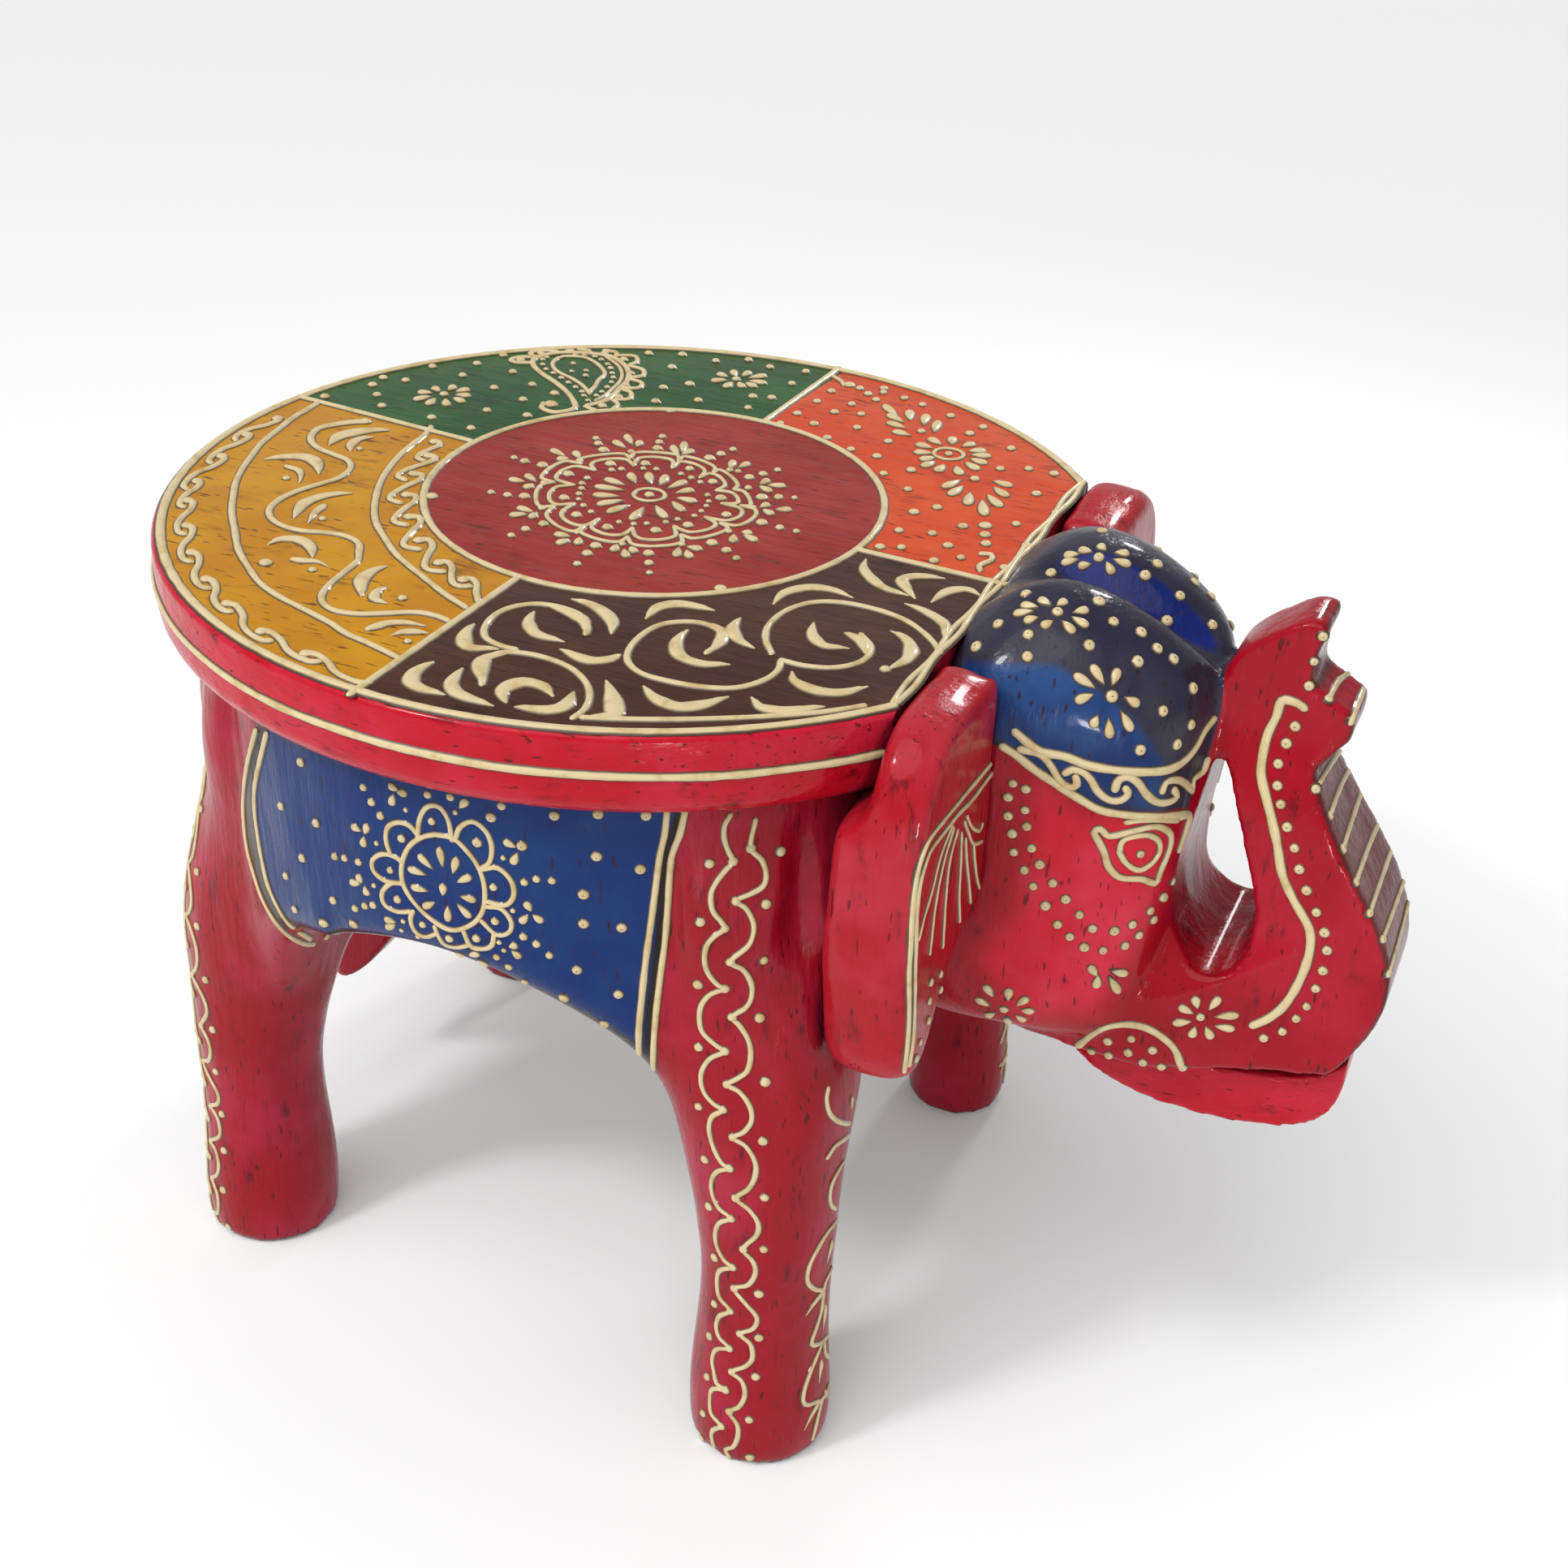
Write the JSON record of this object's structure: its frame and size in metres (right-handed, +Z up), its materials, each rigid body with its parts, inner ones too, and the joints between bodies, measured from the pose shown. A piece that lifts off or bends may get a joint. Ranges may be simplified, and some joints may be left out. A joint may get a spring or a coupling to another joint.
{
  "type": "elephant stool",
  "caption": "Low carved wooden stool shaped as an elephant, with a round painted seat, sturdy legs, flat ears and a raised trunk.",
  "frame": {"origin": "on the floor, under the middle of the stool's overall length and width", "axes": "+Z up; +X towards the elephant's head; +Y towards the elephant's left side"},
  "size_m": [0.309, 0.229, 0.2139],
  "materials": {
    "seat_paint": "lacquered",
    "red_lacquer": "lacquered",
    "blue_lacquer": "lacquered",
    "bare_wood": "raw"
  },
  "bodies": {
    "root": {"seat_plank_left": "seat_paint", "seat_plank_middle": "seat_paint", "seat_plank_right": "seat_paint", "body_block": "blue_lacquer", "leg_front_left": "red_lacquer", "leg_front_right": "red_lacquer", "leg_rear_left": "red_lacquer", "leg_rear_right": "red_lacquer", "head_block": "red_lacquer", "lower_jaw": "red_lacquer", "ear_left": "red_lacquer", "ear_right": "red_lacquer", "tail": "red_lacquer", "seat_dowels": "bare_wood", "plank_dowels": "bare_wood", "leg_dowels": "bare_wood", "head_dowels": "bare_wood", "ear_dowels": "bare_wood", "jaw_dowels": "bare_wood", "tail_dowels": "bare_wood"}
  },
  "joints": []
}
